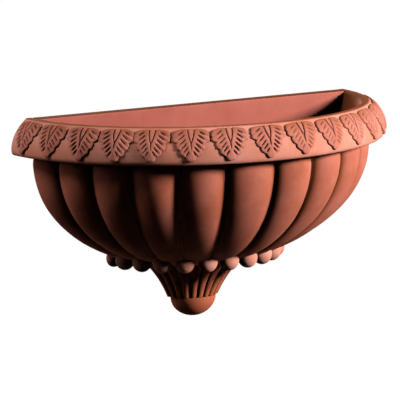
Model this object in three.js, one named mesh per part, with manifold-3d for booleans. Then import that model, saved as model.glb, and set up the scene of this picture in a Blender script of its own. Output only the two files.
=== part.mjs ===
// Half-round terracotta wall planter, in millimetres, +Z up.
// The wall is the plane Y = 0 and the planter stands out from it towards -Y.
// The origin lies on the wall face, midway between the two hanging holes.
//
// Every piece is a round form that is squashed in depth and cut off at the wall, so each is
// drawn as if the planter were round, and then brought to its real depth.

import * as THREE from 'three';
import { mergeVertices } from 'three/addons/utils/BufferGeometryUtils.js';
import Module from 'manifold-3d';

const wasm = await Module();
wasm.setup();

// ---------------------------------------------------------------- driving dimensions

// Size of the rim, without the leaves that stand proud of it
const rimWidth = 596;
const rimDepth = 253;

// Rim band. Drops are measured down from the top of the rim.
const lipWidth = 11;
const lipRounding = 4;
const slopeWidth = 25;
const slopeDegrees = 38;
const shoulderDrop = 44;
const rimCornerWidth = 5;
const rimCornerHeight = 7;
const rimHeight = 60;
const rimOverhang = 23;
const rimLedgeMargin = 3;

// Bowl
const lobeCount = 12;
const lobeRelief = 20;
// The lobes are pressed by hand and differ in width. Each groove, from the left end to the right
// end, stands this many degrees off its even place.
const grooveTurns = [0, -1, -1.9, -2.6, -2.6, -2.2, 0, 0, 0, 0, 0, 0, 0];
const bowlDrop = 175;
const bowlFlatRadius = 92;
const bowlWall = 29;
const floorThickness = 15;

// Back wall and its two hanging holes
const backThickness = 20;
const hangingDrop = 75;
const hangingSpacing = 280;
const hangingHoleDiameter = 12;

// Drain holes, between the finial and the beads
const drainHoleDiameter = 12;
const drainRingRadius = 99;
const drainAngles = [45, 135];

// Leaves on the slope of the rim
const leafCount = 16;
const leafSideGap = 4;
const leafLength = 47.5;
const leafTopMargin = 5.5;
const leafTopShare = 0.35;
const leafTaper = 0.3;
const leafEdgeHeight = 2;
const leafCrownHeight = 3.8;
const leafMidribHeight = 3;
// How far each leaf was set off its even place by hand, in degrees, from the left
const leafNudges = [0.7, 0.7, 0.9, 0.4, -0.3, -0.3, -0.4];

// Beads under the bowl. The ring is set on a little turned, in degrees.
const beadCount = 13;
const beadRingTurn = -2.2;
const beadRingRadius = 130;
const beadDiameter = 30;
const beadHeight = 15;

// Finial
const ribCount = 12;
const ribRelief = 5.5;
const coneTopRadius = 86;
const coneWaistRadius = 60;
const coneFootRadius = 43;
const coneHeight = 57;
const coneWaistDrop = 20;
const knobRadius = 35.5;
const knobHeight = 31;
const knobForward = 6;

// Clearance that slip fills between two curved pieces
const joint = 0.3;

// Smoothness of the faceted forms
const segmentsPerLobe = 8;
const segmentsPerRib = 4;
const smoothSegments = 96;
const beadSegments = 14;
const holeSegments = 16;
const cornerSteps = 3;
const curveSteps = 7;
const bowlSteps = 12;

// ---------------------------------------------------------------- worked-out values

const rimRadius = rimWidth / 2;
const depthRatio = rimDepth / rimRadius;
const lipOuterRadius = rimRadius - slopeWidth;
const mouthRadius = lipOuterRadius - lipWidth;
const lobeRadius = rimRadius - rimOverhang;
const ledgeRadius = lobeRadius + rimLedgeMargin;
const bowlInnerRadius = lobeRadius - bowlWall;
const bowlTop = -rimHeight;
const bowlBottom = bowlSurfaceHeight(bowlFlatRadius);
const innerDrop = bowlTop - bowlBottom - floorThickness;
const coneFoot = bowlBottom - coneHeight;
const reach = rimWidth;

// Height of the bowl's smooth envelope, over the crests of its lobes, at a radius.
function bowlSurfaceHeight(radius) {
  return -rimHeight - bowlDrop * Math.sqrt(1 - (radius / lobeRadius) ** 2);
}

// ---------------------------------------------------------------- materials

const clayColours = {
  bowl_shell: 0xb5583c,
  back_wall: 0xc0624a,
  rim_band: 0xbc5e44,
  leaf: 0xc2664c,
  bead: 0xb85c42,
  finial_cone: 0xac5236,
  finial_knob: 0xb2573a,
};

function clay(kind) {
  return new THREE.MeshStandardMaterial({ color: clayColours[kind], roughness: 0.9, metalness: 0 });
}

// ---------------------------------------------------------------- solids

function weld(geometry) {
  const bare = geometry.index ? geometry.toNonIndexed() : geometry.clone();
  bare.deleteAttribute('normal');
  bare.deleteAttribute('uv');
  return mergeVertices(bare, 1e-3);
}

function toSolid(geometry) {
  const welded = weld(geometry);
  const vertProperties = new Float32Array(welded.attributes.position.array);
  const triVerts = new Uint32Array(welded.index.array);
  return new wasm.Manifold(new wasm.Mesh({ numProp: 3, vertProperties, triVerts }));
}

function toGeometry(solid) {
  const mesh = solid.getMesh();
  const geometry = new THREE.BufferGeometry();
  geometry.setAttribute('position', new THREE.BufferAttribute(mesh.vertProperties, 3));
  geometry.setIndex(new THREE.BufferAttribute(mesh.triVerts, 1));
  return geometry;
}

function box(width, depth, height, x, y, z) {
  return toSolid(new THREE.BoxGeometry(width, depth, height).translate(x, y, z));
}

// A profile of [radius, height] points turned about the vertical axis.
function turned(profile, segments) {
  const points = profile.map(([radius, height]) => new THREE.Vector2(Math.max(radius, 0), height));
  return new THREE.LatheGeometry(points, segments).rotateX(Math.PI / 2);
}

// Moves each vertex by a function of its angle, radius and height; the function gives the radius.
function reshapeRadius(geometry, radiusAt) {
  const position = geometry.attributes.position;
  for (let i = 0; i < position.count; i++) {
    const x = position.getX(i);
    const y = position.getY(i);
    const radius = Math.hypot(x, y);
    if (radius > 0) {
      const scale = radiusAt(Math.atan2(y, x), radius, position.getZ(i)) / radius;
      position.setXY(i, x * scale, y * scale);
    }
  }
  return geometry;
}

// Turns each vertex about the vertical axis, by a function of its angle.
function turnEach(geometry, turnAt) {
  const position = geometry.attributes.position;
  for (let i = 0; i < position.count; i++) {
    const x = position.getX(i);
    const y = position.getY(i);
    const angle = Math.atan2(y, x) + turnAt(Math.atan2(y, x));
    const radius = Math.hypot(x, y);
    position.setXY(i, radius * Math.cos(angle), radius * Math.sin(angle));
  }
  return geometry;
}

// Brings a round form to the planter's real depth.
function squash(geometry) {
  return geometry.scale(1, depthRatio, 1);
}

// Cuts a squashed round form off at the wall.
function cutAtWall(solid) {
  return solid.intersect(box(2 * reach, reach, 2 * reach, 0, -reach / 2, 0));
}

// Points of a quarter of an ellipse, from one angle to another, in quarter turns.
function ellipseArc(centreRadius, centreHeight, width, height, from, to, steps) {
  const points = [];
  for (let i = 0; i <= steps; i++) {
    const angle = (from + ((to - from) * i) / steps) * (Math.PI / 2);
    points.push([centreRadius + width * Math.cos(angle), centreHeight + height * Math.sin(angle)]);
  }
  return points;
}

// Angle at a share of the way round the half turn, from the left end to the right end.
function angleAt(share) {
  return Math.PI * (share - 1);
}

function pieceNumber(index) {
  return String(index + 1).padStart(2, '0');
}

// ---------------------------------------------------------------- rim band

// The slope that carries the leaves, in section: it leaves the lip at an angle and bends down
// until it is upright at the shoulder.
const slope = new THREE.QuadraticBezierCurve(
  new THREE.Vector2(lipOuterRadius, 0),
  new THREE.Vector2(rimRadius, -slopeWidth * Math.tan(THREE.MathUtils.degToRad(slopeDegrees))),
  new THREE.Vector2(rimRadius, -shoulderDrop),
);

function rimProfile() {
  const cornerCentre = rimRadius - rimCornerWidth;
  return [
    [bowlInnerRadius, bowlTop],
    ...ellipseArc(mouthRadius + lipRounding, -lipRounding, lipRounding, lipRounding, 2, 1, cornerSteps),
    ...slope.getPoints(curveSteps).map((point) => [point.x, point.y]),
    ...ellipseArc(cornerCentre, -shoulderDrop, rimCornerWidth, rimCornerHeight, 0, -1, cornerSteps).slice(1),
    [ledgeRadius, -shoulderDrop - rimCornerHeight],
    [ledgeRadius, bowlTop],
    [bowlInnerRadius, bowlTop],
  ].reverse();
}

function rimBand() {
  return toGeometry(cutAtWall(toSolid(squash(turned(rimProfile(), smoothSegments)))));
}

// ---------------------------------------------------------------- bowl

// How far the outside is drawn in at an angle, where count half-round lobes fill the half turn:
// nothing on a lobe's crest, all of it in a groove.
function grooveShare(angle, count) {
  const turns = (angle * count) / Math.PI;
  const fromCrest = 2 * Math.abs(turns - Math.floor(turns) - 0.5);
  return 1 - Math.sqrt(1 - fromCrest ** 2);
}

// How far a place on the bowl's outside is turned from where even lobes would have it.
function grooveTurn(angle) {
  if (angle >= 0) return 0;
  const place = (angle / Math.PI + 1) * lobeCount;
  const before = Math.min(Math.floor(place), lobeCount - 1);
  return THREE.MathUtils.degToRad(
    THREE.MathUtils.lerp(grooveTurns[before], grooveTurns[before + 1], place - before),
  );
}

function bowlOutside() {
  const flatAngle = Math.acos(bowlFlatRadius / lobeRadius) / (Math.PI / 2);
  const profile = [
    [0, bowlBottom],
    ...ellipseArc(0, bowlTop, lobeRadius, bowlDrop, -flatAngle, 0, bowlSteps),
    [0, bowlTop],
  ];
  const segments = 2 * lobeCount * segmentsPerLobe;
  const lobed = reshapeRadius(turned(profile, segments), (angle, radius) => {
    const fade = Math.max((radius - coneTopRadius) / (lobeRadius - coneTopRadius), 0);
    return radius - lobeRelief * fade * grooveShare(angle, lobeCount);
  });
  return turnEach(lobed, grooveTurn);
}

function bowlInside() {
  const profile = [
    ...ellipseArc(0, bowlTop, bowlInnerRadius, innerDrop, -1, 0, bowlSteps),
    [bowlInnerRadius, bowlTop + rimHeight],
    [0, bowlTop + rimHeight],
  ];
  return turned(profile, smoothSegments);
}

function drainHole(degrees) {
  const angle = -THREE.MathUtils.degToRad(degrees);
  const x = drainRingRadius * Math.cos(angle);
  const y = drainRingRadius * Math.sin(angle) * depthRatio;
  const radius = drainHoleDiameter / 2;
  const cylinder = new THREE.CylinderGeometry(radius, radius, bowlDrop, holeSegments).rotateX(Math.PI / 2);
  return toSolid(cylinder.translate(x, y, bowlBottom));
}

function bowlShell() {
  let shell = toSolid(squash(bowlOutside())).subtract(toSolid(squash(bowlInside())));
  for (const degrees of drainAngles) shell = shell.subtract(drainHole(degrees));
  return toGeometry(cutAtWall(shell));
}

// ---------------------------------------------------------------- back wall

// The hollow of the rim and bowl, drawn in by the joint: the slab fills its rear.
function hollow() {
  const profile = [
    ...ellipseArc(0, bowlTop, bowlInnerRadius - joint, innerDrop - joint, -1, 0, bowlSteps),
    [mouthRadius - joint, -lipRounding],
    [mouthRadius - joint, 0],
    [0, 0],
  ];
  return toSolid(squash(turned(profile, smoothSegments)));
}

function hangingHole(side) {
  const radius = hangingHoleDiameter / 2;
  const cylinder = new THREE.CylinderGeometry(radius, radius, 3 * backThickness, holeSegments);
  return toSolid(cylinder.translate((side * hangingSpacing) / 2, 0, -hangingDrop));
}

function backWall() {
  const slab = box(2 * reach, backThickness, 2 * reach, 0, -backThickness / 2, 0);
  const wall = hollow().intersect(slab);
  return toGeometry(wall.subtract(hangingHole(-1)).subtract(hangingHole(1)));
}

// ---------------------------------------------------------------- leaves

// Half of a leaf's outline: [share of the length from the top, share of the half width].
// Three lobes with a notch under each, then the blunt tip.
const leafOutline = [
  [0, 0.8],
  [0.09, 0.95],
  [0.2, 1],
  [0.32, 0.97],
  [0.42, 0.84],
  [0.46, 0.75],
  [0.54, 0.8],
  [0.64, 0.7],
  [0.7, 0.53],
  [0.78, 0.52],
  [0.86, 0.42],
  [0.91, 0.24],
  [0.97, 0.2],
  [1, 0.1],
];

// Shares of the half width at which the leaf's surface has a line of points.
const leafColumns = [-1, -0.5, 0, 0.5, 1];

// Place on the rim's slope a given length below the lip, with the outward normal there.
function slopeAt(length) {
  const share = Math.min(length / slope.getLength(), 1);
  const point = slope.getPointAt(share);
  const tangent = slope.getTangentAt(share);
  const beyond = length - share * slope.getLength();
  return { radius: point.x, height: point.y - beyond, normal: new THREE.Vector2(-tangent.y, tangent.x) };
}

// Height of the leaf over the slope: it is thin where it meets the lip.
function leafRelief(column, down) {
  const share = leafTopShare + (1 - leafTopShare) * Math.min(down / leafTaper, 1);
  if (column === 0) return share * leafMidribHeight;
  return share * (Math.abs(column) === 1 ? leafEdgeHeight : leafCrownHeight);
}

// One leaf, drawn in the round at an angle about the planter's axis.
function leaf(centreAngle) {
  const halfWidthAngle = Math.PI / leafCount / 2 - leafSideGap / 2 / rimRadius;
  const positions = [];
  const addLayer = (lift) => {
    for (const [down, wide] of leafOutline) {
      const { radius, height, normal } = slopeAt(leafTopMargin + leafLength * down);
      for (const column of leafColumns) {
        const angle = centreAngle + column * wide * halfWidthAngle;
        const out = radius + normal.x * lift(column, down);
        const up = height + normal.y * lift(column, down);
        positions.push(out * Math.cos(angle), out * Math.sin(angle) * depthRatio, up);
      }
    }
  };
  addLayer(() => joint);
  addLayer(leafRelief);

  const rows = leafOutline.length;
  const columns = leafColumns.length;
  const top = rows * columns;
  const indices = [];
  const quad = (a, b, c, d) => indices.push(a, b, c, a, c, d);
  for (let row = 0; row < rows - 1; row++) {
    for (let column = 0; column < columns - 1; column++) {
      const a = row * columns + column;
      quad(top + a, top + a + columns, top + a + columns + 1, top + a + 1);
      quad(a, a + 1, a + columns + 1, a + columns);
    }
    const left = row * columns;
    const right = left + columns - 1;
    quad(left, left + columns, top + left + columns, top + left);
    quad(right, top + right, top + right + columns, right + columns);
  }
  for (let column = 0; column < columns - 1; column++) {
    const last = (rows - 1) * columns + column;
    quad(column, top + column, top + column + 1, column + 1);
    quad(last, last + 1, top + last + 1, top + last);
  }
  const geometry = new THREE.BufferGeometry();
  geometry.setAttribute('position', new THREE.Float32BufferAttribute(positions, 3));
  geometry.setIndex(indices);
  return geometry;
}

// ---------------------------------------------------------------- beads

// A bead is a dome whose flat side lies against the bowl's underside. The first and the last one
// sit at the wall and are cut off by it.
function bead(centreAngle) {
  const profile = [...ellipseArc(0, 0, beadDiameter / 2, beadHeight, -1, 0, curveSteps), [0, 0]];
  const height = bowlSurfaceHeight(beadRingRadius);
  const normal = new THREE.Vector2(
    beadRingRadius / lobeRadius ** 2,
    (height - bowlTop) / bowlDrop ** 2,
  ).normalize();
  const tilt = Math.atan2(normal.x, -normal.y);
  const dome = turned(profile, beadSegments).rotateY(-tilt);
  dome.translate(beadRingRadius + normal.x * joint, 0, height + normal.y * joint);
  return toGeometry(cutAtWall(toSolid(squash(dome.rotateZ(centreAngle)))));
}

// ---------------------------------------------------------------- finial

function finialCone() {
  const flare = new THREE.QuadraticBezierCurve(
    new THREE.Vector2(coneTopRadius, bowlBottom),
    new THREE.Vector2(coneWaistRadius, bowlBottom - coneWaistDrop),
    new THREE.Vector2(coneFootRadius, coneFoot),
  );
  const side = flare.getPoints(curveSteps).map((point) => [point.x, point.y]);
  const profile = [[0, bowlBottom], ...side, [0, coneFoot]].reverse();
  const segments = 2 * ribCount * segmentsPerRib;
  const fluted = reshapeRadius(
    turned(profile, segments),
    (angle, radius) => radius - ribRelief * grooveShare(angle, ribCount),
  );
  return toGeometry(cutAtWall(toSolid(squash(fluted))));
}

// The knob's axis stands a little in front of the wall, so it is somewhat more than half round.
function finialKnob() {
  const profile = [...ellipseArc(0, coneFoot, knobRadius, knobHeight, -1, 0, curveSteps), [0, coneFoot]];
  const knob = squash(turned(profile, smoothSegments / 2)).translate(0, -knobForward, 0);
  return toGeometry(cutAtWall(toSolid(knob)));
}

// ---------------------------------------------------------------- assembly

const planter = new THREE.Group();
planter.position.z = hangingDrop;

function addPiece(name, kind, geometry) {
  const mesh = new THREE.Mesh(geometry, clay(kind));
  mesh.name = name;
  planter.add(mesh);
}

addPiece('bowl_shell', 'bowl_shell', bowlShell());
addPiece('back_wall', 'back_wall', backWall());
addPiece('rim_band', 'rim_band', rimBand());
for (let i = 0; i < leafCount; i++) {
  const nudge = THREE.MathUtils.degToRad(leafNudges[i] ?? 0);
  addPiece(`leaf_${pieceNumber(i)}`, 'leaf', leaf(angleAt((i + 0.5) / leafCount) + nudge));
}
const beadTurn = THREE.MathUtils.degToRad(beadRingTurn);
for (let i = 0; i < beadCount; i++) {
  addPiece(`bead_${pieceNumber(i)}`, 'bead', bead(angleAt(i / (beadCount - 1)) + beadTurn));
}
addPiece('finial_cone', 'finial_cone', finialCone());
addPiece('finial_knob', 'finial_knob', finialKnob());

export default planter;
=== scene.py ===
"""A half-round terracotta wall planter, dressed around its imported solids.

Lengths are in metres, +Z is up, the wall is the plane Y = 0 and the planter stands out towards -Y.
Every piece is drawn as if the planter were round, then brought to its real depth.
"""

import math

import bpy
import numpy as np
from mathutils import Matrix, Vector


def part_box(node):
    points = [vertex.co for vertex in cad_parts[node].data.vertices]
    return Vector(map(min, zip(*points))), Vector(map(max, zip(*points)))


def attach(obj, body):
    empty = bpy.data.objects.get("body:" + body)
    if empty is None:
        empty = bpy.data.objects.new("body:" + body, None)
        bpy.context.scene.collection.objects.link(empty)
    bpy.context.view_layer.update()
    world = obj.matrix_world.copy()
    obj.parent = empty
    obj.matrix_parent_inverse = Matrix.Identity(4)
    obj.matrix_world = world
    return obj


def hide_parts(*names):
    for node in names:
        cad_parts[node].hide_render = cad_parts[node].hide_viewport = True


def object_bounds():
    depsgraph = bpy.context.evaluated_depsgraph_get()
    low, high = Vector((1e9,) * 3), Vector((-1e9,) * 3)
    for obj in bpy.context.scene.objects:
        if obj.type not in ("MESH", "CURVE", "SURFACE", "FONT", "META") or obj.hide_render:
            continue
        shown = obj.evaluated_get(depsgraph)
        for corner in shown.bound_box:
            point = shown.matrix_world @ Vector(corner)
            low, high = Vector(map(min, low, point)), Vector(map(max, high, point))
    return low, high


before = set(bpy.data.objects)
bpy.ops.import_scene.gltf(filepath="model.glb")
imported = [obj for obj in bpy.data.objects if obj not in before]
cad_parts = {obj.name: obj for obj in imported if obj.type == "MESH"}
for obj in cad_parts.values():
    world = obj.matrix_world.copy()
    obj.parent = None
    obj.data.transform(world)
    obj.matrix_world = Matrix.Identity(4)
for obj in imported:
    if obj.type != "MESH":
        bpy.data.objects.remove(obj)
cad_low, cad_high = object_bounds()

# ---------------------------------------------------------------- sizes

MM = 0.001

rim_low, rim_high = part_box("rim_band")
cone_low, cone_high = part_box("finial_cone")
knob_low, knob_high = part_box("finial_knob")

RIM_TOP = rim_high.z
RIM_RADIUS = (rim_high.x - rim_low.x) / 2
DEPTH_RATIO = -rim_low.y / RIM_RADIUS
RIM_HEIGHT = rim_high.z - rim_low.z

# Places this close to a surface count as on it.
NEAR = 1 * MM
# Faces this close to the wall's plane count as against the wall.
AT_WALL = 0.01 * MM

# Rim
LIP_WIDTH = 11 * MM
LIP_ROUNDING = 4 * MM
SLOPE_WIDTH = 25 * MM
SLOPE_ANGLE = math.radians(38)
SHOULDER_DROP = 44 * MM
SLOPE_POINTS = 400
POINTS_PER_ROW = 20
RIM_CORNER_WIDTH = 5 * MM
RIM_CORNER_HEIGHT = 7 * MM
RIM_OVERHANG = 23 * MM
RIM_STEPS = 240
# Painted shade on the lip, and at the foot of the rim's rounded corner over this height.
LIP_SHADE = 0.55
CORNER_SHADE_HEIGHT = RIM_CORNER_HEIGHT / 6

# The hollow's two ends get a painted shadow near the wall.
END_SHADOW = 0.9
END_SHADOW_REACH = 140 * MM

# Bowl
LOBE_COUNT = 12
LOBE_RELIEF = 20 * MM
LOBE_RADIUS = RIM_RADIUS - RIM_OVERHANG
NECK_SETBACK = 2 * MM
LOBE_TOP_ROUNDING = 8 * MM
LOBE_TOP_SETBACK = 1.5 * MM
LOBE_TOP_TAPER = 16 * MM
LOBE_TOP_NARROWING = 0.3
LOBE_STEPS = 22
BOWL_OUTSIDE_STEPS = 70
BOWL_INSIDE_STEPS = 28
# The power by which the grooves fade out towards the finial.
GROOVE_FADE = 0.75
# The share of a lobe's half width, from its crest, at which a groove's painted shade begins.
GROOVE_SHADE_START = 0.68
# The power by which a groove's painted shade grows towards its bottom.
SHADE_GROWTH = 1.4
# Painted shade on the bowl just under the rim, and how far down it reaches.
UNDER_RIM_SHADE = 0.7
UNDER_RIM_SHADE_REACH = 7 * MM
PRESSING_SIZE = 30 * MM
PRESSING_DEPTH = 0.35 * MM
# How many degrees each groove, from the left end to the right end, stands off its even place.
GROOVE_TURNS = (0, -1, -1.9, -2.6, -2.6, -2.2, 0, 0, 0, 0, 0, 0, 0)
BOWL_DROP = 175 * MM
BOWL_WALL = 29 * MM
BOWL_FLAT_RADIUS = 92 * MM
FLOOR_THICKNESS = 15 * MM
# The share of its half round that a lobe or rib keeps before the next one meets it.
ROUND_KEPT = 0.985

# Back wall and its hanging holes
BACK_THICKNESS = 20 * MM
BACK_ROUNDING = 2.5 * MM
BACK_LAP = 1 * MM
# A darker strip along the back wall's top edge.
BACK_TOP_DARKENING = 0.7
HOLE_SPACING = 280 * MM
HOLE_DIAMETER = 12 * MM
HOLE_SIDES = 48
BACK_LOWER_ROWS = 40
BACK_UPPER_ROWS = 12
BACK_ROUNDING_ROWS = 7

# Drain holes
DRAIN_DIAMETER = 12 * MM
DRAIN_RING_RADIUS = 99 * MM
DRAIN_ANGLES = (45, 135)

# Leaves
LEAF_COUNT = 16
LEAF_SIDE_GAP = 4 * MM
LEAF_LENGTH = 47.5 * MM
LEAF_TOP_MARGIN = 5.5 * MM
LEAF_NUDGES = (0.7, 0.7, 0.9, 0.4, -0.3, -0.3, -0.4)
LEAF_CROWN = 3.9 * MM
LEAF_EDGE = 2.3 * MM
LEAF_SINK = 0.5 * MM
LEAF_FLARE = 1.0 * MM
LEAF_LEAST = 0.3 * MM
# The power by which the leaf's crown falls to its edge.
LEAF_EDGE_POWER = 5
# The share of its full height that a leaf has at its top edge, and how far down it is full.
TOP_EDGE_SHARE = 0.62
TOP_EDGE_REACH = 0.12
TOP_EDGE_POWER = 0.7
# The tip falls off from this share of the length, and has a small knob.
TIP_START = 0.8
TIP_FALL = 0.2
TIP_KNOB = 0.5 * MM
TIP_KNOB_DOWN = 0.94
TIP_KNOB_LENGTH = 0.05
TIP_KNOB_WIDTH = 0.2
# The first leaves' veins hold more painted shade. The last leaves are worn: their veins are this
# much as deep.
FULL_VEIN_SHADE_LEAVES = 4
SHARP_LEAVES = 8
WORN = 0.55
# Painted shade in the veins and the midrib's lines.
FULL_VEIN_SHADE = 1.0
VEIN_SHADE = 0.75
MIDRIB_SHADE = 0.9
# Painted shadow on the skirt round each leaf's edge.
SEAM_SHADOW = 0.95
# Painted shade across the leaf's top, fading downwards and towards the midrib.
TOP_SHADE = 0.35
TOP_SHADE_REACH = 0.4
TOP_SHADE_SIDE = 0.2
VEIN_WIDTH = 0.85 * MM
VEIN_DEPTH = 2.4 * MM
VALLEY_WIDTH = 2.8 * MM
VALLEY_DEPTH = 1.0 * MM
# A valley runs on past its vein's end by this share of the vein.
VALLEY_BEYOND = 0.8
# The midrib's two lines: half their gap at the top, where they meet, and where they end.
MIDRIB_HALF_WIDTH = 0.18
MIDRIB_MEETS = 0.5
MIDRIB_END = 0.72
MIDRIB_FADE = 0.16
MIDRIB_LINE_WIDTH = 0.8 * MM
MIDRIB_DEPTH = 2.4 * MM

# Beads
BEAD_COUNT = 13
BEAD_RING_TURN = -2.2
BEAD_RING_RADIUS = 130 * MM
BEAD_RADIUS = 15 * MM
BEAD_HEIGHT = 15 * MM
BEAD_SINK = 8 * MM
BEAD_STEPS = 12
BEAD_SEGMENTS = 40

# Finial
RIB_COUNT = 12
RIB_RELIEF = 5.5 * MM
RIB_STEPS = 14
# Where the painted shade in the flutes begins, as a share from a rib's crest.
FLUTE_SHADE_START = 0.6
CONE_TOP_RADIUS = 86 * MM
CONE_WAIST_RADIUS = 60 * MM
CONE_FOOT_RADIUS = 43 * MM
RIB_INNER_RADIUS = 0.6 * CONE_FOOT_RADIUS
CONE_WAIST_DROP = 20 * MM
CONE_LIP = 3 * MM
CONE_STEPS = 36
KNOB_RADIUS = 35.5 * MM
KNOB_FORWARD = 6 * MM
KNOB_STEPS = 28
KNOB_SEGMENTS = 144

# Worked out
LIP_OUTER_RADIUS = RIM_RADIUS - SLOPE_WIDTH
MOUTH_RADIUS = LIP_OUTER_RADIUS - LIP_WIDTH
BOWL_TOP = RIM_TOP - RIM_HEIGHT
RIM_UNDERSIDE = RIM_TOP - SHOULDER_DROP - RIM_CORNER_HEIGHT
NECK_RADIUS = LOBE_RADIUS - LOBE_RELIEF - NECK_SETBACK
BOWL_INNER_RADIUS = LOBE_RADIUS - BOWL_WALL
CONE_TOP = cone_high.z
CONE_FOOT = cone_low.z
KNOB_FOOT = knob_low.z
BOWL_BOTTOM = CONE_TOP
INNER_DROP = BOWL_TOP - BOWL_BOTTOM - FLOOR_THICKNESS
LEAF_HALF_WIDTH = math.pi * RIM_RADIUS / LEAF_COUNT / 2 - LEAF_SIDE_GAP / 2
EVEN_GROOVES = np.linspace(-math.pi, 0, LOBE_COUNT + 1)
REAL_GROOVES = EVEN_GROOVES + np.radians(GROOVE_TURNS)

# Waves that add up to a pressed surface: their rates along x, y and z, their start and their share.
PRESSED_WAVES = (
    (1.3, 2.1, 0.7, 0.4, 1.0),
    (-1.9, 0.8, 1.7, 2.2, 1.0),
    (0.6, -1.4, 2.6, 4.1, 1.0),
    (3.1, 2.7, -2.2, 1.0, 0.6),
)

# ---------------------------------------------------------------- mesh helpers


def make_object(name, vertices, faces):
    mesh = bpy.data.meshes.new(name)
    mesh.from_pydata([tuple(v) for v in vertices], [], faces)
    mesh.validate()
    mesh.update()
    piece = bpy.data.objects.new(name, mesh)
    bpy.context.scene.collection.objects.link(piece)
    return piece


def smooth(piece, crease_degrees=38):
    """Smooth shading, except along edges sharper than the crease angle."""
    piece.data.shade_smooth()
    piece.data.set_sharp_from_angle(angle=math.radians(crease_degrees))


def set_darkening(piece, values):
    """How far the clay is darkened at each vertex, from 0 to 1, mostly as painted shade.

    A face that lies against the wall has none.
    """
    mesh = piece.data
    vertex = np.empty(len(mesh.loops), np.int32)
    mesh.loops.foreach_get("vertex_index", vertex)
    centre = np.empty(3 * len(mesh.polygons), np.float32)
    mesh.polygons.foreach_get("center", centre)
    corners = np.empty(len(mesh.polygons), np.int32)
    mesh.polygons.foreach_get("loop_total", corners)
    at_wall = np.repeat(centre[1::3] > -AT_WALL, corners)
    darkening = np.where(at_wall, 0, np.asarray(values)[vertex])
    attribute = mesh.attributes.new("darkening", "FLOAT", "CORNER")
    attribute.data.foreach_set("value", darkening.astype(np.float32))


def vertex_places(piece):
    return np.array([v.co for v in piece.data.vertices])


def round_radius(places):
    """The radius of each place, as if the planter were round."""
    return np.hypot(places[:, 0], places[:, 1] / DEPTH_RATIO)


def round_angle(places):
    """The angle of each place, as if the planter were round."""
    return np.arctan2(places[:, 1] / DEPTH_RATIO, places[:, 0])


def unevenness(points, size, height):
    """A smooth offset for each point, up to the height, as pressed clay has."""
    x, y, z = (points / size).T
    total = 0
    all_shares = 0
    for rate_x, rate_y, rate_z, start, share in PRESSED_WAVES:
        total = total + share * np.sin(rate_x * x + rate_y * y + rate_z * z + start)
        all_shares += share
    return height * total / all_shares


def half_turn(radius, height, angle):
    """A place given by radius, height and angle, brought to the planter's real depth."""
    x = radius * np.cos(angle)
    y = radius * np.sin(angle) * DEPTH_RATIO
    return np.stack(np.broadcast_arrays(x, y, height), axis=-1)


def half_lathe(name, profile, angles, radius_offset=None):
    """A closed profile turned over the front half turn, with flat ends at the wall."""
    profile = np.asarray(profile)
    radius, height = profile[None, :, 0], profile[None, :, 1]
    angle = angles[:, None]
    if radius_offset is not None:
        radius = radius + radius_offset(radius, height, angle)
    grid = half_turn(radius, height, angle)
    rows, columns = grid.shape[:2]
    faces = []
    for i in range(rows - 1):
        for j in range(columns):
            after = (j + 1) % columns
            a, b = i * columns + j, i * columns + after
            faces.append((a, a + columns, b + columns, b))
    faces.append(tuple(range(columns)))
    faces.append(tuple(reversed(range((rows - 1) * columns, rows * columns))))
    return make_object(name, grid.reshape(-1, 3), faces)


def arc(centre, size, start, end, steps):
    """Points of part of an ellipse, with the angles in quarter turns."""
    angles = np.linspace(start, end, steps + 1) * math.pi / 2
    return [(centre[0] + size[0] * math.cos(a), centre[1] + size[1] * math.sin(a)) for a in angles]


def bezier(first, middle, last, steps):
    """Points of a curve from the first to the last place, pulled towards the middle one."""
    t = np.linspace(0, 1, steps + 1)[:, None]
    first, middle, last = (np.array(p, float) for p in (first, middle, last))
    return (1 - t) ** 2 * first + 2 * t * (1 - t) * middle + t**2 * last


def lobed_angles(count, steps):
    """Angles that crowd towards the grooves, so that each lobe comes out evenly round."""
    across = np.sin(np.linspace(-math.pi / 2, math.pi / 2, steps + 1))
    pitch = math.pi / count
    angles = [-math.pi + pitch * (i + 0.5 + 0.5 * a) for i in range(count) for a in across[:-1]]
    return np.array(angles + [0.0])


def from_crest(angle, count):
    """0 on a lobe's crest and 1 in the groove between two lobes."""
    rounding = 1e-9
    turns = angle * count / math.pi
    return 2 * np.abs(turns - np.floor(turns + rounding) - 0.5)


def even_angle(angle):
    """The angle that a place on the bowl would have if its grooves were evenly spaced."""
    return np.interp(angle, REAL_GROOVES, EVEN_GROOVES)


def groove_share(angle, count, narrowing=0):
    """How far a half-round lobe falls back at an angle, as a share of its relief."""
    across = np.clip(from_crest(angle, count) * (1 + narrowing), 0, 1) * ROUND_KEPT
    return (1 - np.sqrt(1 - across**2)) / (1 - math.sqrt(1 - ROUND_KEPT**2))


def groove_shade(off_crest, start):
    """The painted shade in a groove: none up to the start, full at the bottom."""
    return np.clip((off_crest - start) / (1 - start), 0, 1) ** SHADE_GROWTH


def end_shadow(places):
    """The painted shadow at the hollow's two ends, near the wall."""
    return END_SHADOW * np.clip(1 + places[:, 1] / END_SHADOW_REACH, 0, 1)


def cylinder(x, y, z, diameter, length, along_y=False):
    """An upright cylinder, or one that points into the wall."""
    bpy.ops.mesh.primitive_cylinder_add(vertices=HOLE_SIDES, radius=diameter / 2, depth=length)
    cutter = bpy.context.active_object
    turn = Matrix.Rotation(math.pi / 2, 4, "X") if along_y else Matrix.Identity(4)
    cutter.data.transform(Matrix.Translation((x, y, z)) @ turn)
    cutter.matrix_world = Matrix.Identity(4)
    return cutter


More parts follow.
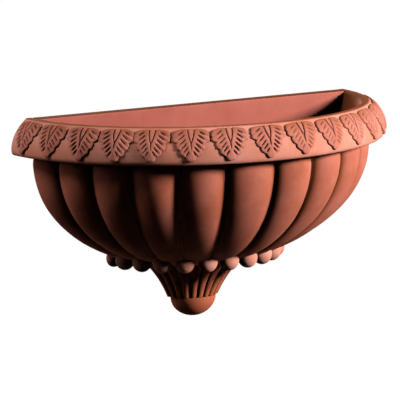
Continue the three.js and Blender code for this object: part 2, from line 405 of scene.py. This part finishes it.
def cut(piece, cutters):
    """Takes the cutters out of the piece and removes them."""
    for cutter in cutters:
        modifier = piece.modifiers.new("cut", "BOOLEAN")
        modifier.operation = "DIFFERENCE"
        modifier.solver = "EXACT"
        modifier.object = cutter
        bpy.context.view_layer.objects.active = piece
        bpy.ops.object.modifier_apply(modifier=modifier.name)
        bpy.data.objects.remove(cutter)


# ---------------------------------------------------------------- clay


SHEEN = 0.04
GRAIN = 0.35
BACK_GRAIN = 0.2
GRAIN_DEPTH = 0.4 * MM
SPECK_DARKNESS = 0.45
# Colours of the darkening: mostly painted shade, and a plain darker strip along the back wall's top
# edge.
DARKENING_BROWN = (0.30, 0.075, 0.025)
DARKENING_BLACK = (0.02, 0.007, 0.004)
# Sockets of a mix node that mixes colours.
FIRST_COLOUR = 6
SECOND_COLOUR = 7
MIXED_COLOUR = 2


def clay(name, light, dark, dusty, bump=GRAIN):
    """Unglazed terracotta: mottled, faintly speckled, darkened where set (mostly painted shade),
    with a fine grain.
    """
    material = bpy.data.materials.new(name)
    material.use_nodes = True
    nodes, links = material.node_tree.nodes, material.node_tree.links
    shader = nodes["Principled BSDF"]
    place = nodes.new("ShaderNodeTexCoord").outputs["Object"]

    def noise(scale, detail, roughness=0.55):
        node = nodes.new("ShaderNodeTexNoise")
        node.inputs["Scale"].default_value = scale
        node.inputs["Detail"].default_value = detail
        node.inputs["Roughness"].default_value = roughness
        links.new(place, node.inputs["Vector"])
        return node.outputs["Fac"]

    def spread(value, low, high, to_low=0.0, to_high=1.0):
        node = nodes.new("ShaderNodeMapRange")
        node.inputs["From Min"].default_value = low
        node.inputs["From Max"].default_value = high
        node.inputs["To Min"].default_value = to_low
        node.inputs["To Max"].default_value = to_high
        links.new(value, node.inputs["Value"])
        return node.outputs["Result"]

    def mix(share, first, second):
        node = nodes.new("ShaderNodeMix")
        node.data_type = "RGBA"
        links.new(share, node.inputs["Factor"])
        for index, colour in ((FIRST_COLOUR, first), (SECOND_COLOUR, second)):
            if isinstance(colour, tuple):
                node.inputs[index].default_value = (*colour, 1)
            else:
                links.new(colour, node.inputs[index])
        return node.outputs[MIXED_COLOUR]

    mottle = spread(noise(scale=16, detail=5), low=0.35, high=0.65)
    bloom = spread(noise(scale=45, detail=4), low=0.52, high=0.75, to_high=0.35)
    specks = spread(noise(scale=700, detail=2, roughness=0.7), low=0.6, high=0.72, to_high=0.45)
    colour = mix(mottle, light, dark)
    colour = mix(bloom, colour, dusty)
    colour = mix(specks, colour, tuple(SPECK_DARKNESS * c for c in dark))
    # The darkening mixes towards brown and then near black: mostly painted shade.
    recess = nodes.new("ShaderNodeAttribute")
    recess.attribute_name = "darkening"
    colour = mix(spread(recess.outputs["Fac"], low=0, high=0.5), colour, DARKENING_BROWN)
    colour = mix(spread(recess.outputs["Fac"], low=0.4, high=1), colour, DARKENING_BLACK)
    links.new(colour, shader.inputs["Base Color"])

    rough = spread(noise(scale=60, detail=3), low=0.3, high=0.7, to_low=0.78, to_high=0.95)
    links.new(rough, shader.inputs["Roughness"])
    shader.inputs["Specular IOR Level"].default_value = SHEEN

    grain = nodes.new("ShaderNodeBump")
    grain.inputs["Strength"].default_value = bump
    grain.inputs["Distance"].default_value = GRAIN_DEPTH
    links.new(noise(scale=420, detail=6, roughness=0.7), grain.inputs["Height"])
    links.new(grain.outputs["Normal"], shader.inputs["Normal"])
    return material


# Each piece's clay: its light, dark and dusty tint. The back wall's grain is fainter.
BOWL_CLAY = clay("bowl_clay", (0.63, 0.186, 0.122), (0.50, 0.130, 0.070), (0.66, 0.245, 0.18))
RIM_CLAY = clay("rim_clay", (0.80, 0.315, 0.235), (0.71, 0.235, 0.145), (0.82, 0.38, 0.31))
LEAF_CLAY = clay("leaf_clay", (0.66, 0.228, 0.168), (0.55, 0.170, 0.110), (0.70, 0.29, 0.23))
# The finial's more orange tint stands in for shade on it: a painted-shade copy of the clay.
FINIAL_SHADED_CLAY = clay("finial_shaded_clay", (0.58, 0.150, 0.075), (0.45, 0.105, 0.040), (0.60, 0.20, 0.12))
# The beads' lighter tint stands in for light on them: a painted-light copy of the clay.
BEAD_LIT_CLAY = clay("bead_lit_clay", (0.84, 0.34, 0.25), (0.74, 0.25, 0.165), (0.86, 0.42, 0.34))
BACK_TINTS = ((0.54, 0.150, 0.108), (0.48, 0.125, 0.09), (0.57, 0.175, 0.135))
BACK_CLAY = clay("back_clay", *BACK_TINTS, bump=BACK_GRAIN)


def finish_piece(piece, node, material):
    """Gives the piece its clay and puts it in the place of the solid."""
    piece.data.materials.append(material)
    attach(piece, "root")
    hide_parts(node)


# ---------------------------------------------------------------- rim

SLOPE = bezier(
    (LIP_OUTER_RADIUS, RIM_TOP),
    (RIM_RADIUS, RIM_TOP - SLOPE_WIDTH * math.tan(SLOPE_ANGLE)),
    (RIM_RADIUS, RIM_TOP - SHOULDER_DROP),
    SLOPE_POINTS,
)
SLOPE_STEPS = np.linalg.norm(np.diff(SLOPE, axis=0), axis=1)
SLOPE_LENGTHS = np.concatenate([[0], np.cumsum(SLOPE_STEPS)])


def rim_profile():
    """The rim's section, from the bowl's edge up the inside, over the lip and down the slope."""
    corner = (RIM_RADIUS - RIM_CORNER_WIDTH, RIM_TOP - SHOULDER_DROP)
    mouth = (MOUTH_RADIUS + LIP_ROUNDING, RIM_TOP - LIP_ROUNDING)
    inside = np.linspace((BOWL_INNER_RADIUS, BOWL_TOP), (MOUTH_RADIUS, RIM_TOP - LIP_ROUNDING), 8)
    under = np.linspace((corner[0], RIM_UNDERSIDE), (NECK_RADIUS, RIM_UNDERSIDE), 4)
    bottom = np.linspace((NECK_RADIUS, BOWL_TOP), (BOWL_INNER_RADIUS, BOWL_TOP), 4)
    return np.concatenate(
        [
            inside[:-1],
            arc(mouth, (LIP_ROUNDING, LIP_ROUNDING), 2, 1, 6),
            SLOPE[::POINTS_PER_ROW],
            arc(corner, (RIM_CORNER_WIDTH, RIM_CORNER_HEIGHT), 0, -1, 8)[1:],
            under[1:],
            bottom[:-1],
        ]
    )[::-1]


rim = half_lathe("rim", rim_profile(), np.linspace(-math.pi, 0, RIM_STEPS + 1))
rim_places = vertex_places(rim)
rim_radius = round_radius(rim_places)
# Painted shade on the lip and at the foot of the rounded corner, and a painted shadow at the
# hollow's ends.
on_lip = (rim_radius < LIP_OUTER_RADIUS + NEAR) & (rim_places[:, 2] > RIM_TOP - LIP_ROUNDING)
over_underside = rim_places[:, 2] - RIM_UNDERSIDE
under_corner = np.clip(1 - over_underside / CORNER_SHADE_HEIGHT, 0, 1)
outside_mouth = rim_radius > LIP_OUTER_RADIUS
in_end = np.where(rim_radius < MOUTH_RADIUS + NEAR, end_shadow(rim_places), 0)
set_darkening(rim, np.where(on_lip, LIP_SHADE, np.where(outside_mouth, under_corner, in_end)))
smooth(rim)
finish_piece(rim, "rim_band", RIM_CLAY)

# ---------------------------------------------------------------- bowl


def bowl_height(radius):
    """Height of the bowl's smooth envelope, over the crests of its lobes."""
    return BOWL_TOP - BOWL_DROP * np.sqrt(1 - (radius / LOBE_RADIUS) ** 2)


def bowl_relief(radius, height, angle):
    """How far the outside falls back from the envelope, as a negative offset of the radius."""
    outside = radius >= outer_edge(height) - NEAR
    down_slope = (radius - CONE_TOP_RADIUS) / (LOBE_RADIUS - CONE_TOP_RADIUS)
    fade = np.clip(down_slope, 0, 1) ** GROOVE_FADE
    below_rim = RIM_UNDERSIDE - height
    rounded = 1 - np.clip(below_rim / LOBE_TOP_ROUNDING, 0, 1)
    setback = LOBE_TOP_SETBACK * (1 - np.sqrt(1 - rounded**2))
    narrowing = LOBE_TOP_NARROWING * np.clip(1 - below_rim / LOBE_TOP_TAPER, 0, 1) ** 2
    relief = LOBE_RELIEF * fade * groove_share(even_angle(angle), LOBE_COUNT, narrowing) + setback
    return np.where(outside, -relief, 0)


def outer_edge(height):
    """Radius of the bowl's envelope at a height."""
    down = np.clip((BOWL_TOP - height) / BOWL_DROP, 0, 1)
    return LOBE_RADIUS * np.sqrt(1 - down**2)


def bowl_profile():
    """The bowl's section, from the floor's middle up the outside and down the inside."""
    flat = math.acos(BOWL_FLAT_RADIUS / LOBE_RADIUS) / (math.pi / 2)
    centre = (0, BOWL_TOP)
    floor = np.linspace((0, BOWL_BOTTOM), (BOWL_FLAT_RADIUS, BOWL_BOTTOM), 6)
    outside = arc(centre, (LOBE_RADIUS, BOWL_DROP), -flat, 0, BOWL_OUTSIDE_STEPS)
    lobe_top = np.linspace((LOBE_RADIUS, BOWL_TOP), (LOBE_RADIUS, RIM_UNDERSIDE), 8)[1:]
    neck = [(NECK_RADIUS, RIM_UNDERSIDE), (NECK_RADIUS, BOWL_TOP)]
    inside = arc(centre, (BOWL_INNER_RADIUS, INNER_DROP), 0, -1, BOWL_INSIDE_STEPS)
    return np.concatenate([floor[:-1], outside, lobe_top, neck, inside])


bowl_angles = np.interp(lobed_angles(LOBE_COUNT, LOBE_STEPS), EVEN_GROOVES, REAL_GROOVES)
bowl = half_lathe("bowl", bowl_profile(), bowl_angles, bowl_relief)
bowl_places = vertex_places(bowl)
bowl_radius = round_radius(bowl_places)
on_outside = bowl_radius > outer_edge(bowl_places[:, 2]) - BOWL_WALL / 2
off_crest = from_crest(even_angle(round_angle(bowl_places)), LOBE_COUNT)
# Painted shade in the grooves and under the rim outside, and a painted shadow at the hollow's ends
# inside.
in_groove = groove_shade(off_crest, GROOVE_SHADE_START)
to_underside = RIM_UNDERSIDE - bowl_places[:, 2]
under_rim = UNDER_RIM_SHADE * np.clip(1 - to_underside / UNDER_RIM_SHADE_REACH, 0, 1)
set_darkening(bowl, np.where(on_outside, np.maximum(in_groove, under_rim), end_shadow(bowl_places)))

on_lobes = on_outside & (bowl_radius > CONE_TOP_RADIUS)
pressed = np.where(on_lobes, unevenness(bowl_places, PRESSING_SIZE, PRESSING_DEPTH), 0)
bowl_places[:, :2] *= (1 + pressed / np.maximum(bowl_radius, CONE_TOP_RADIUS))[:, None]
bowl.data.vertices.foreach_set("co", bowl_places.astype(np.float32).ravel())

drains = []
for degrees in DRAIN_ANGLES:
    drain_x, drain_y, _ = half_turn(DRAIN_RING_RADIUS, 0.0, -math.radians(degrees))
    drains.append(cylinder(drain_x, drain_y, BOWL_BOTTOM, DRAIN_DIAMETER, BOWL_DROP))
cut(bowl, drains)
smooth(bowl, crease_degrees=50)
finish_piece(bowl, "bowl_shell", BOWL_CLAY)

# ---------------------------------------------------------------- back wall


def hollow_radius(height):
    """Radius of the planter's hollow at a height."""
    down = np.clip((BOWL_TOP - height) / INNER_DROP, 0, 1)
    up = np.clip((height - BOWL_TOP) / (RIM_HEIGHT - LIP_ROUNDING), 0, 1)
    return BOWL_INNER_RADIUS * np.sqrt(1 - down**2) + (MOUTH_RADIUS - BOWL_INNER_RADIUS) * up


def back_outline(y, inset):
    """The slab's outline at a depth, a little into the bowl and rim, and rounded at its top."""
    lower = BOWL_TOP - INNER_DROP * np.sin(np.linspace(math.pi / 2, 0, BACK_LOWER_ROWS))
    upper = np.linspace(BOWL_TOP, RIM_TOP - inset, BACK_UPPER_ROWS)[1:]
    heights = np.concatenate([lower, upper])
    share = math.sqrt(1 - (y / (DEPTH_RATIO * BOWL_INNER_RADIUS)) ** 2)
    widths = np.maximum(hollow_radius(heights) * share, 0) + BACK_LAP
    right = [(x, y, z) for x, z in zip(widths, heights)]
    left = [(-x, y, z) for x, y, z in reversed(right)]
    return right + left


def back_slab():
    """Outlines from the wall to the slab's front face, with a rounded front top edge."""
    outlines = [back_outline(0, BACK_ROUNDING / 2), back_outline(-BACK_ROUNDING / 2, 0)]
    front = BACK_THICKNESS - BACK_ROUNDING
    for turn in np.linspace(0, math.pi / 2, BACK_ROUNDING_ROWS):
        y = -front - BACK_ROUNDING * math.sin(turn)
        outlines.append(back_outline(y, BACK_ROUNDING * (1 - math.cos(turn))))
    count = len(outlines[0])
    faces = [tuple(range(count))]
    for i in range(len(outlines) - 1):
        for j in range(count):
            a, b = i * count + j, i * count + (j + 1) % count
            faces.append((a, a + count, b + count, b))
    faces.append(tuple(reversed(range((len(outlines) - 1) * count, len(outlines) * count))))
    return make_object("back", [p for outline in outlines for p in outline], faces)


back = back_slab()
hanging = []
for hole_x in (-HOLE_SPACING / 2, HOLE_SPACING / 2):
    hanging.append(cylinder(hole_x, 0, 0, HOLE_DIAMETER, 3 * BACK_THICKNESS, along_y=True))
cut(back, hanging)
# A darker strip along the top edge.
back_heights = vertex_places(back)[:, 2]
set_darkening(back, np.where(back_heights > RIM_TOP - BACK_ROUNDING / 4, BACK_TOP_DARKENING, 0))
smooth(back, crease_degrees=30)
finish_piece(back, "back_wall", BACK_CLAY)

# ---------------------------------------------------------------- leaves

# Half of a leaf's outline: [share of the length, share of the half width]. A broad upper lobe, a
# notch under it, the narrower lower lobe and the blunt tip.
LEAF_OUTLINE = np.array(
    [
        (0, 0.50),
        (0.02, 0.72),
        (0.05, 0.87),
        (0.10, 0.96),
        (0.16, 1),
        (0.36, 1),
        (0.42, 0.97),
        (0.45, 0.90),
        (0.475, 0.79),
        (0.49, 0.76),
        (0.52, 0.79),
        (0.58, 0.80),
        (0.64, 0.74),
        (0.68, 0.63),
        (0.70, 0.58),
        (0.73, 0.58),
        (0.78, 0.56),
        (0.82, 0.50),
        (0.86, 0.38),
        (0.89, 0.29),
        (0.92, 0.24),
        (0.95, 0.22),
        (0.98, 0.17),
        (1, 0.07),
    ]
)
# One side's veins: start and end, each [share of the half width, share of the length].
VEINS = (
    ((0.46, 0.12), (0.74, 0.22)),
    ((0.38, 0.24), (0.70, 0.375)),
    ((0.31, 0.37), (0.62, 0.52)),
    ((0.25, 0.50), (0.52, 0.645)),
    ((0.18, 0.61), (0.40, 0.745)),
    ((0.12, 0.73), (0.27, 0.84)),
)
LEAF_ROWS = 110
LEAF_COLUMNS = 84
# Notches in the leaf's edge: shares of its half width and of its length.
SCALLOP_DEPTH = 0.03
SCALLOP_PITCH = 0.145
SCALLOP_FADE = 0.1
SCALLOP_SHARPNESS = 4
FIRST_SCALLOP = 0.02


def leaf_width(down):
    """Half width of the leaf at a share of its length, with a shallow scallop for each finger."""
    plain = np.interp(down, LEAF_OUTLINE[:, 0], LEAF_OUTLINE[:, 1])
    wave = np.cos(np.pi * (down - FIRST_SCALLOP) / SCALLOP_PITCH)
    from_top = np.clip(down / SCALLOP_FADE, 0, 1)
    from_tip = np.clip((1 - down) / SCALLOP_FADE - 1, 0, 1)
    return plain * (1 - SCALLOP_DEPTH * np.abs(wave) ** SCALLOP_SHARPNESS * from_top * from_tip)


def slope_at(length):
    """Radius, height and outward normal on the rim's slope, a given length below the lip."""
    on_slope = np.minimum(length, SLOPE_LENGTHS[-1])
    beyond = length - on_slope
    radius = np.interp(on_slope, SLOPE_LENGTHS, SLOPE[:, 0])
    height = np.interp(on_slope, SLOPE_LENGTHS, SLOPE[:, 1]) - beyond
    along = np.gradient(SLOPE, axis=0)
    along /= np.linalg.norm(along, axis=1)[:, None]
    out = np.interp(on_slope, SLOPE_LENGTHS, -along[:, 1])
    up = np.interp(on_slope, SLOPE_LENGTHS, along[:, 0])
    return radius, height, out, up


def scratch(across, down, start, end, width):
    """1 on a cut line from start to end, falling off to 0 beside it, and pointed at its ends."""
    line_x = (end[0] - start[0]) * LEAF_HALF_WIDTH
    line_y = (end[1] - start[1]) * LEAF_LENGTH
    x = (across - start[0]) * LEAF_HALF_WIDTH
    y = (down - start[1]) * LEAF_LENGTH
    nearest = np.clip((x * line_x + y * line_y) / (line_x**2 + line_y**2), 0, 1)
    gap = np.hypot(x - nearest * line_x, y - nearest * line_y)
    belly = 0.5 + 0.5 * np.sqrt(np.clip(4 * nearest * (1 - nearest), 0, 1))
    return np.exp(-((gap / (width * belly)) ** 2)) * belly


def leaf_cuts(across, down):
    """The veins, the valleys between the fingers and the midrib's two lines, each from 0 to 1."""
    veins = np.zeros_like(across)
    valleys = np.zeros_like(across)
    for side in (-1, 1):
        for vein_start, vein_end in VEINS:
            start = np.array(vein_start) * (side, 1)
            end = np.array(vein_end) * (side, 1)
            edge = end + VALLEY_BEYOND * (end - start)
            veins = np.maximum(veins, scratch(across, down, start, end, VEIN_WIDTH))
            valleys = np.maximum(valleys, scratch(across, down, start, edge, VALLEY_WIDTH))
    apart = MIDRIB_HALF_WIDTH * np.clip(1 - (down / MIDRIB_MEETS) ** 2, 0, 1)
    off_line = (np.abs(across) - apart) * LEAF_HALF_WIDTH
    fade = np.clip((MIDRIB_END - down) / MIDRIB_FADE, 0, 1)
    lines = np.exp(-((off_line / MIDRIB_LINE_WIDTH) ** 2)) * fade
    return veins, valleys, lines


def leaf_height(share, across, down):
    """Height of the leaf over the rim's slope, from its middle to its edge."""
    crown = np.sqrt(1 - np.abs(share) ** LEAF_EDGE_POWER)
    from_top = np.clip(down / TOP_EDGE_REACH, 0, 1) ** TOP_EDGE_POWER
    top = TOP_EDGE_SHARE + (1 - TOP_EDGE_SHARE) * from_top
    tip = 1 - TIP_FALL * np.clip((down - TIP_START) / (1 - TIP_START), 0, 1)
    body = LEAF_EDGE + (LEAF_CROWN - LEAF_EDGE) * crown
    off_knob = ((down - TIP_KNOB_DOWN) / TIP_KNOB_LENGTH) ** 2 + (across / TIP_KNOB_WIDTH) ** 2
    return body * top * tip + TIP_KNOB * np.exp(-off_knob)


def build_leaf(index):
    """One leaf: its carved top, a skirt down to the rim's slope and a flat strip under each row."""
    nudge = LEAF_NUDGES[index] if index < len(LEAF_NUDGES) else 0
    centre = -math.pi + math.pi * (index + 0.5) / LEAF_COUNT + math.radians(nudge)
    half_angle = LEAF_HALF_WIDTH / RIM_RADIUS
    crisp = 1.0 if index < SHARP_LEAVES else WORN
    vein_shade = FULL_VEIN_SHADE if index < FULL_VEIN_SHADE_LEAVES else VEIN_SHADE * crisp

    down = np.linspace(0, 1, LEAF_ROWS)[:, None]
    share = np.linspace(-1, 1, LEAF_COLUMNS)[None, :]
    across = share * leaf_width(down)
    veins, valleys, lines = leaf_cuts(across, down + 0 * share)
    depth = crisp * (VEIN_DEPTH * veins + VALLEY_DEPTH * valleys) + MIDRIB_DEPTH * lines
    lift = np.maximum(leaf_height(share, across, down) - depth, LEAF_LEAST)
    radius, height, out, up = slope_at(LEAF_TOP_MARGIN + LEAF_LENGTH * down)
    top = half_turn(radius + out * lift, height + up * lift, centre + across * half_angle)
    foot = across + share * LEAF_FLARE / LEAF_HALF_WIDTH
    foot_flare = LEAF_FLARE * (2 * down - 1)
    radius, height, out, up = slope_at(LEAF_TOP_MARGIN + LEAF_LENGTH * down + foot_flare)
    sunk = half_turn(radius - out * LEAF_SINK, height - up * LEAF_SINK, centre + foot * half_angle)

    rows, columns = LEAF_ROWS, LEAF_COLUMNS
    ring = [(0, j) for j in range(columns)]
    ring += [(i, columns - 1) for i in range(1, rows)]
    ring += [(rows - 1, j) for j in range(columns - 2, -1, -1)]
    ring += [(i, 0) for i in range(rows - 2, 0, -1)]
    sunk_index = {place: rows * columns + k for k, place in enumerate(ring)}
    vertices = np.concatenate([top.reshape(-1, 3), [sunk[place] for place in ring]])

    faces = []
    for i in range(rows - 1):
        for j in range(columns - 1):
            a = i * columns + j
            faces.append((a, a + columns, a + columns + 1, a + 1))
    for place, after in zip(ring, ring[1:] + ring[:1]):
        a, b = (i * columns + j for i, j in (place, after))
        faces.append((a, b, sunk_index[after], sunk_index[place]))
    for i in range(rows - 1):
        left, right = sunk_index[i, 0], sunk_index[i, columns - 1]
        below_left, below_right = sunk_index[i + 1, 0], sunk_index[i + 1, columns - 1]
        faces.append((left, right, below_right, below_left))
    faces.append(tuple(sunk_index[0, j] for j in reversed(range(columns))))
    faces.append(tuple(sunk_index[rows - 1, j] for j in range(columns)))

    leaf = make_object(f"acanthus_leaf_{index + 1:02d}", vertices, faces)
    # Painted shade in the veins, the midrib's lines and across the top, and a painted shadow on the
    # skirt.
    beside_midrib = np.clip(np.abs(share) / TOP_SHADE_SIDE, 0, 1)
    at_top = TOP_SHADE * np.clip(1 - down / TOP_SHADE_REACH, 0, 1) * beside_midrib
    leaf_shade = np.clip(vein_shade * veins**2 + MIDRIB_SHADE * lines**2 + at_top, 0, 1)
    set_darkening(leaf, np.concatenate([leaf_shade.ravel(), np.full(len(ring), SEAM_SHADOW * crisp)]))
    smooth(leaf, crease_degrees=60)
    finish_piece(leaf, f"leaf_{index + 1:02d}", LEAF_CLAY)


for leaf_index in range(LEAF_COUNT):
    build_leaf(leaf_index)

# ---------------------------------------------------------------- beads


def round_lathe(profile, segments):
    """A profile from axis to axis, turned all the way round, as places and faces."""
    angles = np.linspace(0, 2 * math.pi, segments, endpoint=False)[:, None]
    inner = np.asarray(profile[1:-1])
    ring = np.stack(
        [inner[:, 0] * np.cos(angles), inner[:, 0] * np.sin(angles), inner[:, 1] + 0 * angles],
        axis=-1,
    )
    count = len(inner)
    ends = [(0, 0, profile[0][1]), (0, 0, profile[-1][1])]
    vertices = np.concatenate([ring.reshape(-1, 3), ends])
    first, last = segments * count, segments * count + 1
    faces = []
    for i in range(segments):
        a, b = i * count, (i + 1) % segments * count
        faces += [(a + j, b + j, b + j + 1, a + j + 1) for j in range(count - 1)]
        faces.append((first, b, a))
        faces.append((last, a + count - 1, b + count - 1))
    return vertices, faces


def build_bead(index):
    """One bead, square to the bowl's envelope and sunk into it. The wall cuts the end beads."""
    centre = math.pi * (index / (BEAD_COUNT - 1) - 1) + math.radians(BEAD_RING_TURN)
    profile = arc((0, 0), (BEAD_RADIUS, BEAD_HEIGHT), -1, 0, BEAD_STEPS)
    profile += [(BEAD_RADIUS, BEAD_SINK), (0, BEAD_SINK)]
    profile[0] = (0, -BEAD_HEIGHT)
    vertices, faces = round_lathe(profile, BEAD_SEGMENTS)
    height = bowl_height(BEAD_RING_RADIUS)
    tilt = math.atan2(BEAD_RING_RADIUS / LOBE_RADIUS**2, (BOWL_TOP - height) / BOWL_DROP**2)
    turn = Matrix.Rotation(centre, 3, "Z") @ Matrix.Rotation(-tilt, 3, "Y")
    places = vertices @ np.array(turn).T
    places += half_turn(BEAD_RING_RADIUS, height, centre) / np.array([1, DEPTH_RATIO, 1])
    places[:, 1] *= DEPTH_RATIO
    bead = make_object(f"clay_bead_{index + 1:02d}", places, faces)
    if index in (0, BEAD_COUNT - 1):
        cut(bead, [behind_wall()])
    set_darkening(bead, np.zeros(len(bead.data.vertices)))
    smooth(bead, crease_degrees=50)
    finish_piece(bead, f"bead_{index + 1:02d}", BEAD_LIT_CLAY)


def behind_wall():
    """A block that fills the space behind the wall's face."""
    bpy.ops.mesh.primitive_cube_add(size=1)
    block = bpy.context.active_object
    block.data.transform(Matrix.Translation((0, 0.5, 0)))
    return block


for bead_index in range(BEAD_COUNT):
    build_bead(bead_index)

# ---------------------------------------------------------------- finial


def cone_relief(radius, height, angle):
    """Half-round ribs on the flaring side; the cone's axis and flat ends keep their place."""
    outside = np.clip((radius - RIB_INNER_RADIUS) / (CONE_FOOT_RADIUS - RIB_INNER_RADIUS), 0, 1)
    return -RIB_RELIEF * outside * groove_share(angle, RIB_COUNT)


def cone_profile():
    """The cone's section, with a concave side and a rounded foot."""
    side = bezier(
        (CONE_TOP_RADIUS, CONE_TOP),
        (CONE_WAIST_RADIUS, CONE_TOP - CONE_WAIST_DROP),
        (CONE_FOOT_RADIUS, CONE_FOOT + CONE_LIP / 2),
        CONE_STEPS,
    )
    foot_centre = (CONE_FOOT_RADIUS - CONE_LIP, CONE_FOOT + CONE_LIP / 2)
    foot = arc(foot_centre, (CONE_LIP, CONE_LIP / 2), 0, -1, 5)
    return np.concatenate([[(0, CONE_TOP)], side, foot[1:], [(0, CONE_FOOT)]])[::-1]


cone = half_lathe("cone", cone_profile(), lobed_angles(RIB_COUNT, RIB_STEPS), cone_relief)
off_rib = from_crest(round_angle(vertex_places(cone)), RIB_COUNT)
# Painted shade in the flutes between the ribs.
set_darkening(cone, groove_shade(off_rib, FLUTE_SHADE_START))
smooth(cone, crease_degrees=50)
finish_piece(cone, "finial_cone", FINIAL_SHADED_CLAY)

knob_profile = arc((0, CONE_FOOT), (KNOB_RADIUS, CONE_FOOT - KNOB_FOOT), -1, 0, KNOB_STEPS)
knob_profile.append((0, CONE_FOOT))
knob_profile[0] = (0, KNOB_FOOT)
knob_places, knob_faces = round_lathe(knob_profile, KNOB_SEGMENTS)
knob_places[:, 1] = knob_places[:, 1] * DEPTH_RATIO - KNOB_FORWARD
knob = make_object("knob", knob_places, knob_faces)
cut(knob, [behind_wall()])
set_darkening(knob, np.zeros(len(knob.data.vertices)))
smooth(knob)
finish_piece(knob, "finial_knob", FINIAL_SHADED_CLAY)

# ---------------------------------------------------------------- floor, world and lamps

FLOOR_DROP = 2.6
FLOOR_SIZE = 120
FLOOR_GREY = 0.5
WHITE_FROM = 5
NEAR_WHITE = 0.86
WORLD_LIGHT = 0.005
LAMP_DISTANCE = 2.5
# Name, azimuth and elevation in degrees, size in metres, power in watts.
LAMPS = (
    ("key", 43, 21.5, 0.5, 98),
    ("left_high", -105, 45, 0.8, 29),
    ("left_low", -116, 16, 0.8, 4),
    ("behind", 172, 12, 0.8, 40),
)


def seen_directly(nodes, links):
    """1 for the rays that show the background: the camera's, reflected and refracted ones."""
    rays = nodes.new("ShaderNodeLightPath")
    seen = rays.outputs["Is Camera Ray"]
    for kind in ("Is Glossy Ray", "Is Transmission Ray"):
        either = nodes.new("ShaderNodeMath")
        either.operation = "MAXIMUM"
        links.new(seen, either.inputs[0])
        links.new(rays.outputs[kind], either.inputs[1])
        seen = either.outputs[0]
    return seen


def pale_floor():
    """A pale floor that is seen as white, a little less so near the planter's shadow."""
    bpy.ops.mesh.primitive_plane_add(size=FLOOR_SIZE, location=(0, 0, -FLOOR_DROP))
    floor = bpy.context.active_object
    floor.name = "floor"
    material = bpy.data.materials.new("floor")
    material.use_nodes = True
    nodes, links = material.node_tree.nodes, material.node_tree.links
    nodes.clear()
    place = nodes.new("ShaderNodeTexCoord")
    distance = nodes.new("ShaderNodeVectorMath")
    distance.operation = "LENGTH"
    links.new(place.outputs["Object"], distance.inputs[0])
    white = nodes.new("ShaderNodeMapRange")
    white.inputs["From Max"].default_value = WHITE_FROM
    white.inputs["To Min"].default_value = NEAR_WHITE
    links.new(distance.outputs["Value"], white.inputs["Value"])
    glow = nodes.new("ShaderNodeMath")
    glow.operation = "MULTIPLY"
    links.new(white.outputs["Result"], glow.inputs[0])
    links.new(seen_directly(nodes, links), glow.inputs[1])
    emission = nodes.new("ShaderNodeEmission")
    links.new(glow.outputs[0], emission.inputs["Strength"])
    pale = nodes.new("ShaderNodeBsdfDiffuse")
    pale.inputs["Color"].default_value = (FLOOR_GREY, FLOOR_GREY, FLOOR_GREY, 1)
    both = nodes.new("ShaderNodeAddShader")
    result = nodes.new("ShaderNodeOutputMaterial")
    links.new(pale.outputs[0], both.inputs[0])
    links.new(emission.outputs[0], both.inputs[1])
    links.new(both.outputs[0], result.inputs["Surface"])
    floor.data.materials.append(material)


def white_world(light):
    """White behind the planter, and a low even light on it."""
    world = bpy.data.worlds.new("studio")
    bpy.context.scene.world = world
    world.use_nodes = True
    nodes, links = world.node_tree.nodes, world.node_tree.links
    background = nodes["Background"]
    background.inputs["Color"].default_value = (1, 1, 1, 1)
    strength = nodes.new("ShaderNodeMapRange")
    strength.inputs["To Min"].default_value = light
    strength.inputs["To Max"].default_value = 1.0
    links.new(seen_directly(nodes, links), strength.inputs["Value"])
    links.new(strength.outputs["Result"], background.inputs["Strength"])


def outwards(azimuth, elevation):
    """A direction away from the planter. Azimuth 0 is in front of it and 90 on its right."""
    turn, rise = math.radians(azimuth), math.radians(elevation)
    flat = math.cos(rise)
    return Vector((math.sin(turn) * flat, -math.cos(turn) * flat, math.sin(rise)))


def lamp(name, azimuth, elevation, size, power):
    """A square lamp aimed at the planter's middle."""
    away = outwards(azimuth, elevation)
    data = bpy.data.lights.new(name, "AREA")
    data.size = size
    data.energy = power
    light = bpy.data.objects.new(name, data)
    light.location = (cad_low + cad_high) / 2 + away * LAMP_DISTANCE
    light.rotation_mode = "QUATERNION"
    light.rotation_quaternion = away.to_track_quat("Z", "Y")
    bpy.context.scene.collection.objects.link(light)


pale_floor()
white_world(WORLD_LIGHT)
for settings in LAMPS:
    lamp(*settings)
# The photo's shade gets hardly any light back from the clay around it.
bpy.context.scene.cycles.diffuse_bounces = 0

# ---------------------------------------------------------------- camera

CAMERA_AZIMUTH = -33.05
CAMERA_ELEVATION = 9.71
CAMERA_ROLL = -0.19
CAMERA_DISTANCE = 4.398
CAMERA_TARGET = Vector((-0.0462, -0.0977, -0.0497))
CAMERA_REACH = 200
SENSOR_WIDTH = 36
LENS = 277.94

camera_away = outwards(CAMERA_AZIMUTH, CAMERA_ELEVATION)
camera_data = bpy.data.cameras.new("camera")
camera_data.sensor_width = SENSOR_WIDTH
camera_data.lens = LENS
camera_data.clip_end = CAMERA_REACH
camera = bpy.data.objects.new("camera", camera_data)
camera.rotation_mode = "QUATERNION"
camera.location = CAMERA_TARGET + camera_away * CAMERA_DISTANCE
level = camera_away.to_track_quat("Z", "Y")
roll = Matrix.Rotation(math.radians(CAMERA_ROLL), 3, "Z").to_quaternion()
camera.rotation_quaternion = level @ roll
bpy.context.scene.collection.objects.link(camera)
bpy.context.scene.camera = camera

bpy.context.scene.view_settings.view_transform = "Standard"
